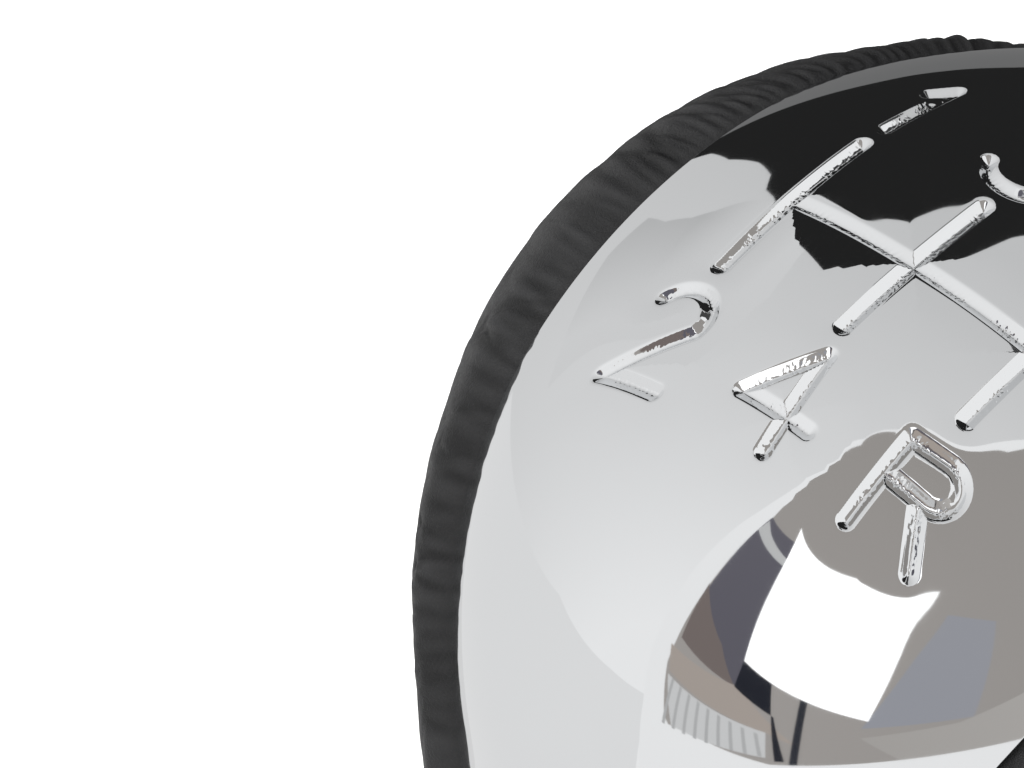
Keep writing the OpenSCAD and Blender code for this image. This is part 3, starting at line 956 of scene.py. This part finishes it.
def ramp(tree, fac, low, high, colour_low, colour_high):
    node = tree.nodes.new("ShaderNodeValToRGB")
    node.color_ramp.elements[0].position = low
    node.color_ramp.elements[1].position = high
    node.color_ramp.elements[0].color = (*colour_low, 1)
    node.color_ramp.elements[1].color = (*colour_high, 1)
    tree.links.new(fac, node.inputs["Fac"])
    return node.outputs["Color"]


def mix_colours(tree, kind, fac, first, second):
    node = tree.nodes.new("ShaderNodeMixRGB")
    node.blend_type = kind
    node.inputs["Fac"].default_value = fac
    tree.links.new(first, node.inputs["Color1"])
    tree.links.new(second, node.inputs["Color2"])
    return node.outputs["Color"]


def spread(tree, fac, low, high, first=0.3, last=0.7):
    """Runs from low to high where fac runs from the first to the last value."""
    node = tree.nodes.new("ShaderNodeMapRange")
    node.inputs["From Min"].default_value = first
    node.inputs["From Max"].default_value = last
    node.inputs["To Min"].default_value = low
    node.inputs["To Max"].default_value = high
    tree.links.new(fac, node.inputs["Value"])
    return node.outputs["Result"]


def bump(tree, height, strength, distance, normal=None):
    node = tree.nodes.new("ShaderNodeBump")
    node.inputs["Strength"].default_value = strength
    node.inputs["Distance"].default_value = distance
    tree.links.new(height, node.inputs["Height"])
    if normal is not None:
        tree.links.new(normal, node.inputs["Normal"])
    return node.outputs["Normal"]


def plain_material(name, dark, light, rough, metallic, grain, relief=0.0):
    """A finish with colour and roughness that vary finely, and a light relief."""
    mat, tree, shader, place = nodes_of(name)
    wide = noise(tree, place, grain * 0.1)
    close = noise(tree, place, grain, 4.0)
    tree.links.new(ramp(tree, wide, 0.3, 0.7, dark, light), shader.inputs["Base Color"])
    tree.links.new(spread(tree, close, rough * 0.7, rough * 1.3), shader.inputs["Roughness"])
    shader.inputs["Metallic"].default_value = metallic
    if relief:
        tree.links.new(bump(tree, close, 0.5, relief * MM), shader.inputs["Normal"])
    return mat


def chrome_material():
    mat, tree, shader, place = nodes_of("chrome_plate")
    colour = tuple(finish().chrome)
    dark = tuple(c * 0.985 for c in colour)
    rough = finish().chrome_roughness
    wide = noise(tree, place, 60.0)
    close = noise(tree, place, 420.0, 2.0)
    tree.links.new(ramp(tree, wide, 0.3, 0.7, dark, colour), shader.inputs["Base Color"])
    tree.links.new(spread(tree, close, rough * 0.8, rough * 1.25), shader.inputs["Roughness"])
    shader.inputs["Metallic"].default_value = 1.0
    waves = bump(tree, noise(tree, place, 160.0, 1.0), 0.35, 0.004 * MM)
    tree.links.new(waves, shader.inputs["Normal"])
    return mat


def leather_material():
    mat, tree, shader, place = nodes_of("leather_black")
    colour = tuple(finish().leather)
    dark = tuple(c * 0.72 for c in colour)
    rough = finish().leather_roughness
    wide = noise(tree, place, 260.0, 4.0)
    # Painted light and shade from the folds' height: paler on the crests, as painted light together
    # with rubbing wear, and darker in the valleys, as painted shade
    fold_shade_and_wear = tree.nodes.new("ShaderNodeAttribute")
    fold_shade_and_wear.attribute_name = FOLD_SHADE_AND_WEAR
    painted_shade_and_rub = spread(tree, fold_shade_and_wear.outputs["Fac"], 0.6, 1.7, -0.07, 0.08)
    base = mix_colours(tree, "MULTIPLY", 1.0, ramp(tree, wide, 0.3, 0.7, dark, colour), painted_shade_and_rub)
    tree.links.new(base, shader.inputs["Base Color"])
    cells = tree.nodes.new("ShaderNodeTexVoronoi")
    cells.feature = "DISTANCE_TO_EDGE"
    cells.inputs["Scale"].default_value = 3600.0
    shake = noise(tree, place, 2500.0, 2.0).node.outputs["Color"]
    shaken = mix_colours(tree, "LINEAR_LIGHT", 0.0004, place, shake)
    tree.links.new(shaken, cells.inputs["Vector"])
    grain = spread(tree, cells.outputs["Distance"], 0.0, 1.0, 0.0, 0.14)
    pores = noise(tree, place, 5200.0, 3.0, 0.6)
    folds = noise(tree, place, 700.0, 3.0)
    tree.links.new(spread(tree, pores, rough * 0.88, rough * 1.15), shader.inputs["Roughness"])
    shader.inputs["Specular IOR Level"].default_value = 0.3
    first = bump(tree, grain, 0.5, 0.025 * MM)
    second = bump(tree, pores, 0.55, 0.025 * MM, first)
    third = bump(tree, folds, 0.45, 0.08 * MM, second)
    tree.links.new(third, shader.inputs["Normal"])
    return mat


def glow_material(name, low, high, reach=(-1.5, 1.0), fade=None):
    """A studio card that gives light only to reflections, with a tone that runs along y."""
    mat, tree, shader, place = nodes_of(name, "ShaderNodeEmission")
    split = tree.nodes.new("ShaderNodeSeparateXYZ")
    tree.links.new(place, split.inputs["Vector"])
    along = spread(tree, split.outputs["Y"], 0.0, 1.0, *reach)
    if fade:
        up = spread(tree, split.outputs["Z"], 1.0, 0.0, *fade)
        both = tree.nodes.new("ShaderNodeMath")
        both.operation = "MULTIPLY"
        tree.links.new(along, both.inputs[0])
        tree.links.new(up, both.inputs[1])
        along = both.outputs["Value"]
    tree.links.new(ramp(tree, along, 0.0, 1.0, low, high), shader.inputs["Color"])
    return mat


def grey(level):
    """The linear value of a grey level out of 255."""
    c = level / 255
    return ((c + 0.055) / 1.055) ** 2.4 if c > 0.04 else c / 12.92


def tone(red, green=None, blue=None):
    green = red if green is None else green
    blue = red if blue is None else blue
    return (grey(red), grey(green), grey(blue))


def put_material(obj, mat):
    obj.data.materials.clear()
    obj.data.materials.append(mat)


def place_piece(obj, mat, slot, *nodes):
    put_material(obj, mat)
    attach(obj, "root")
    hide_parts(*nodes)


# Pieces, name, darkest and lightest colour, roughness, metallic, grain and its height
INNER_FINISHES = (
    (("foam_liner", "cap_pad"), "foam_grey", (0.09,) * 3, (0.14,) * 3, 0.9, 0.0, 4000.0, 0.12),
    (
        ("core", "core_lid"), "core_black",
        (0.02, 0.02, 0.022), (0.03, 0.03, 0.032), 0.5, 0.0, 2400.0, 0.01,
    ),
    (
        ("boot_collar",), "collar_black",
        (0.014, 0.014, 0.015), (0.022, 0.022, 0.023), 0.42, 0.0, 3200.0, 0.02,
    ),
    (
        ("weight_slug",), "zinc_cast",
        (0.38, 0.39, 0.41), (0.5, 0.51, 0.53), 0.45, 1.0, 1500.0, 0.02,
    ),
    (
        ("spring_washer", "cap_clips", "lid_screws", "collar_screws"), "steel_bright",
        (0.5, 0.51, 0.53), (0.6, 0.61, 0.62), 0.28, 1.0, 2600.0,
    ),
    (
        ("threaded_insert",), "brass_turned",
        (0.62, 0.44, 0.18), (0.72, 0.53, 0.24), 0.25, 1.0, 2200.0,
    ),
    (("lever_bush",), "rubber_black", (0.012,) * 3, (0.022,) * 3, 0.75, 0.0, 3000.0, 0.02),
)


# Operators


class KNOB_OT_cap(bpy.types.Operator):
    """Builds the chrome cap with its engraved shift pattern"""

    bl_idname = "knob.cap"
    bl_label = "Chrome cap"

    def execute(self, context):
        place_piece(build_cap(), chrome_material(), "chrome", "top_cap")
        return {"FINISHED"}


class KNOB_OT_leather(bpy.types.Operator):
    """Builds the two gathered halves of the leather cover"""

    bl_idname = "knob.leather"
    bl_label = "Leather cover"

    def execute(self, context):
        mat = leather_material()
        gap = 0.35
        left = build_leather("cover_left", 90 + gap, 270 - gap, 1)
        right = build_leather("cover_right", 270 + gap, 450 - gap, 2)
        place_piece(left, mat, "black_leather", "leather_left")
        place_piece(right, mat, "black_leather", "leather_right")
        return {"FINISHED"}


class KNOB_OT_stitches(bpy.types.Operator):
    """Builds the stitches over the front and the rear seam"""

    bl_idname = "knob.stitches"
    bl_label = "Stitches"

    def execute(self, context):
        colour = tuple(finish().thread)
        dark = tuple(c * 0.6 for c in colour)
        mat = plain_material("thread_black", dark, colour, 0.6, 0.0, 9000.0, 0.02)
        place_piece(build_stitches("thread_front", 1), mat, "thread", "front_stitches")
        place_piece(build_stitches("thread_rear", -1), mat, "thread", "rear_stitches")
        return {"FINISHED"}


class KNOB_OT_neck(bpy.types.Operator):
    """Builds the chrome ring at the neck"""

    bl_idname = "knob.neck"
    bl_label = "Neck ring"

    def execute(self, context):
        mat = bpy.data.materials.get("chrome_plate") or chrome_material()
        place_piece(turned("ring_chrome", ring_profile()), mat, "chrome", "neck_ring")
        return {"FINISHED"}


class KNOB_OT_frame(bpy.types.Operator):
    """Gives the CAD pieces that are kept their finishes"""

    bl_idname = "knob.frame"
    bl_label = "Inner pieces"

    def execute(self, context):
        for pieces, *finish_of in INNER_FINISHES:
            mat = plain_material(*finish_of)
            for name in pieces:
                put_material(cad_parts[name], mat)
        return {"FINISHED"}


# The studio


def direction(az, el):
    a, e = math.radians(az), math.radians(el)
    return np.array([math.cos(e) * math.cos(a), math.cos(e) * math.sin(a), math.sin(e)])


def card(name, corners, radius, mat):
    """A card on a sphere round the head, seen only in reflections. Corners are az, el."""
    outline = []
    for (az1, el1), (az2, el2) in zip(corners, corners[1:] + corners[:1]):
        turn = (az2 - az1 + 180) % 360 - 180
        steps = max(1, int(max(abs(turn), abs(el2 - el1)) / CARD_STEP))
        outline += [(az1 + turn * k / steps, el1 + (el2 - el1) * k / steps) for k in range(steps)]
    flat = []
    for az, el in outline:
        turn = math.radians(az)
        flat.append(((90 - el) * math.cos(turn), (90 - el) * math.sin(turn)))
    reach = int(max(max(abs(x), abs(y)) for x, y in flat)) + 1
    line = range(-reach, reach, CARD_NET)
    out = cut_plane(flat + [(x, y) for x in line for y in line], len(flat), 1e-6)
    middle = np.array([0, 0, KNOB_H])
    verts = []
    for p in out[0]:
        az, el = math.degrees(math.atan2(p[1], p[0])), 90 - math.hypot(p[0], p[1])
        verts.append(middle + radius / MM * direction(az, el))
    obj = new_object(name, verts, [tuple(f) for f in out[2]], smooth=False)
    put_material(obj, mat)
    obj.visible_camera = False
    obj.visible_diffuse = False
    obj.visible_shadow = False
    obj.visible_transmission = False


# Steps along a card's edge and inside it, in degrees
CARD_STEP = 3
CARD_NET = 5
# What the plating reflects: name, distance, corners, darkest and lightest tone.
# The tones run from the card's low y to its high y
CARDS = (
    ("card_panel", 1.8, [(a, -75) for a in range(0, 360, 20)], (252,), (208,)),
    ("card_table", 1.7, [
        (170, -72), (170, -21), (-169, -8), (-144, 5), (-115, 9), (-98, 10), (-94, -72),
    ], (238,), (232,)),
    ("card_black", 1.4, [
        (60, -8), (131, -9), (148, -13), (150.5, -11.5), (150, -6), (151, 3), (150, 12), (150, 21),
        (151.5, 26), (151, 32), (149, 39), (148, 44), (145, 44), (137, 46), (126, 44), (60, 42),
    ], (36,), (36,)),
    ("card_strip", 1.4, [
        (60, -58), (148, -58), (153, -14), (150.5, -11.5), (148, -13), (131, -9), (60, -8),
    ], (150,), (112,)),
    ("card_edge", 1.65, [
        (60, -50), (60, 72), (45, 76), (54, 82), (84, 86), (179, 87), (-135, 82), (-122, 75),
        (-116, 66), (-114, 57), (-112, 47), (-108, 34), (-105, 22), (-100, 8), (-96, -10), (-90, -50),
    ], (250,), (250,)),
    ("card_room", 1.6, [
        (60, -1), (60, 68), (36, 73), (31, 78), (41, 83), (60, 86.5), (-150, 87.5), (-116, 81),
        (-108, 74), (-105, 65), (-102, 48), (-100, 34), (-98, 22), (-92, 7), (-90, 5), (-80, 4),
        (-62, -1),
    ], (170, 165, 161), (156, 152, 148)),
    ("card_window", 1.56, [
        (0, 6), (6, 36), (9, 52), (18, 61), (40, 65), (76, 65), (76, 48), (60, 44), (60, 6),
    ], (255,), (255,)),
    ("card_dark", 1.55, [(76, 46), (76, 67), (100, 67), (106, 60), (106, 46)], (70,), (70,)),
    ("card_low", 1.58, [
        (-40, -1), (-46, 7), (-32, 8), (-20, 14), (0, 20), (10, -1),
    ], (172, 168, 164), (198, 194, 190)),
    ("card_blue", 1.56, [
        (-46, 10), (-30, 9), (-24, 36), (-33, 42),
    ], (158, 160, 168), (164, 164, 168)),
    ("card_purple", 1.55, [
        (-106, 67), (-102, 50), (-98, 30), (-75, 22), (-75, 49), (-79, 65),
    ], (100, 98, 107), (112, 110, 118)),
    ("card_brown", 1.53, [
        (-102, 46), (-98, 30), (-75, 22), (-84, 33),
    ], (122, 112, 109), (134, 123, 119)),
    ("card_beige", 1.52, [
        (-100, 27), (-96, 20), (-64, 9), (-57, 5), (-73, 22),
    ], (176, 166, 158), (188, 178, 170)),
    ("card_blind", 1.51, [(-96, 19), (-89, 5), (-63, 1), (-64, 9)], (214,), (208,)),
    ("card_object", 1.5, [
        (-75, 31), (-75, 22), (-63, 14), (-59, 0), (-61, 0), (-66, 27),
    ], (40, 42, 50), (48, 48, 54)),
    ("card_stand", 1.5, [
        (-58, 20), (-56.4, 20), (-56.4, -1), (-58, -1),
    ], (48, 50, 58), (56, 58, 64)),
    ("card_line", 1.5, [(-105, 63), (-105, 66), (-79, 60), (-79, 58)], (200,), (200,)),
)


def light_world(scene, strength):
    world = bpy.data.worlds.new("studio")
    scene.world = world
    world.use_nodes = True
    tree = world.node_tree
    tree.nodes.clear()
    path = tree.nodes.new("ShaderNodeLightPath")
    output = tree.nodes.new("ShaderNodeOutputWorld")

    def background(colour, power):
        node = tree.nodes.new("ShaderNodeBackground")
        node.inputs["Color"].default_value = (*colour, 1)
        node.inputs["Strength"].default_value = power
        return node.outputs["Background"]

    def pick(which, base, other):
        node = tree.nodes.new("ShaderNodeMixShader")
        tree.links.new(path.outputs[which], node.inputs["Fac"])
        tree.links.new(base, node.inputs[1])
        tree.links.new(other, node.inputs[2])
        return node.outputs["Shader"]

    white = background((1, 1, 1), 1.0)
    soft = background((1, 1, 1), strength)
    panel = background((0.62, 0.625, 0.635), 1.0)
    mixed = pick("Is Glossy Ray", soft, panel)
    mixed = pick("Is Transmission Ray", mixed, white)
    mixed = pick("Is Camera Ray", mixed, white)
    tree.links.new(mixed, output.inputs["Surface"])


# The point that the lamp stands round, in metres
LAMP_AIM = np.array([0, 0, 0.06])


def soft_lamp(name, az, el, distance, size, power):
    data = bpy.data.lights.new(name, "AREA")
    data.shape = "DISK"
    data.size = size
    data.energy = power
    obj = add_object(name, data)
    away = direction(az, el)
    obj.location = LAMP_AIM + distance * away
    obj.rotation_euler = Vector(away).to_track_quat("Z", "Y").to_euler()
    obj.visible_glossy = False


def camera_for(stage):
    az, el = stage.azimuth, stage.elevation
    away = np.array([-math.sin(az), math.cos(az), 0])
    right = np.array([math.cos(az), math.sin(az), 0])
    up_world = np.array([0, 0, 1])
    look = away * math.cos(el) - up_world * math.sin(el)
    up = away * math.sin(el) + up_world * math.cos(el)
    pattern = np.array([0, -PATTERN_BACK, float(dome_z(0.0, -PATTERN_BACK))]) * MM
    place = pattern - stage.distance * look
    aim = pattern - stage.aim_right * right - stage.aim_up * up
    data = bpy.data.cameras.new("photo_camera")
    data.lens = stage.lens
    data.sensor_width = 36.0
    obj = add_object("photo_camera", data)
    back = unit(place - aim)
    side = unit(right - back * right.dot(back))
    turn = Matrix((side, np.cross(back, side), back)).transposed()
    obj.location = place
    obj.rotation_euler = turn.to_euler()
    bpy.context.scene.camera = obj


class KNOB_OT_stage(bpy.types.Operator):
    """Builds the floor, the lights, the reflection cards and the camera"""

    bl_idname = "knob.stage"
    bl_label = "Studio"

    def execute(self, context):
        stage = context.scene.knob_stage
        # Half the floor's side and its lines, and how far it lies below the knob
        half = 4000.0
        n = 24
        below = 0.05
        line = np.linspace(-half, half, n)
        x, y = np.meshgrid(line, line)
        points = np.stack([x.ravel(), y.ravel(), np.full(n * n, -below)], -1)
        floor = new_object("floor", points, grid_faces(n, n, False))
        white = plain_material("floor_white", (0.93,) * 3, (0.95,) * 3, 0.9, 0.0, 40.0)
        put_material(floor, white)
        floor.visible_glossy = False
        for name, distance, corners, low, high in CARDS:
            card(name, corners, distance, glow_material(name, tone(*low), tone(*high)))
        shade = glow_material("card_shade", tone(222), tone(194), (0.2, 0.58), (0.6, 1.1))
        corners = [(164, -4), (160, 0), (161, 7), (160, 14), (158, 19), (154, 26), (151, 32)]
        corners += [(149, 39), (160, 42), (178, 36), (178, -4)]
        card("card_shade", corners, 1.75, shade)
        # The slats of the blind, which get shorter from left to right
        for k in range(9):
            name = "card_slat_%d" % k
            az = -94 + 3.4 * k
            top = 18.5 - 1.2 * k
            foot = 4.5 - 0.4 * k
            corners = [(az, top), (az + 1, top - 0.5), (az + 3, foot), (az + 2, foot + 0.2)]
            card(name, corners, 1.5, glow_material(name, tone(186), tone(192)))
        box = glow_material("card_box", (1.5, 1.5, 1.5), (1.7, 1.7, 1.7))
        card("card_box", [(-81, 69), (-75, 30), (-45, 12), (-35.5, 49.5)], 1.35, box)
        light_world(context.scene, stage.room_light)
        soft_lamp("lamp_top", -70, 62, 1.1, 0.7, stage.lamp_power)
        camera_for(stage)
        context.scene.view_settings.view_transform = "Standard"
        return {"FINISHED"}


class KNOB_PT_panel(bpy.types.Panel):
    """Lists the knob's values and steps"""

    bl_label = "Gear shift knob"
    bl_idname = "KNOB_PT_panel"
    bl_space_type = "VIEW_3D"
    bl_region_type = "UI"
    bl_category = "Knob"

    def draw(self, context):
        for step in STEPS:
            self.layout.operator(step.bl_idname)
        for group in ("knob_sizes", "knob_finish", "knob_stage"):
            values = getattr(context.scene, group)
            for name in values.bl_rna.properties.keys():
                if name not in ("rna_type", "name"):
                    self.layout.prop(values, name)


STEPS = (
    KNOB_OT_cap,
    KNOB_OT_leather,
    KNOB_OT_stitches,
    KNOB_OT_neck,
    KNOB_OT_frame,
    KNOB_OT_stage,
)
CLASSES = (KnobSizes, KnobFinish, KnobStage) + STEPS + (KNOB_PT_panel,)


def register():
    for cls in CLASSES:
        bpy.utils.register_class(cls)
    bpy.types.Scene.knob_sizes = PointerProperty(type=KnobSizes)
    bpy.types.Scene.knob_finish = PointerProperty(type=KnobFinish)
    bpy.types.Scene.knob_stage = PointerProperty(type=KnobStage)


def unregister():
    del bpy.types.Scene.knob_stage
    del bpy.types.Scene.knob_finish
    del bpy.types.Scene.knob_sizes
    for cls in reversed(CLASSES):
        bpy.utils.unregister_class(cls)


def main():
    register()
    bpy.ops.knob.cap()
    bpy.ops.knob.leather()
    bpy.ops.knob.stitches()
    bpy.ops.knob.neck()
    bpy.ops.knob.frame()
    bpy.ops.knob.stage()


if __name__ == "__main__":
    main()
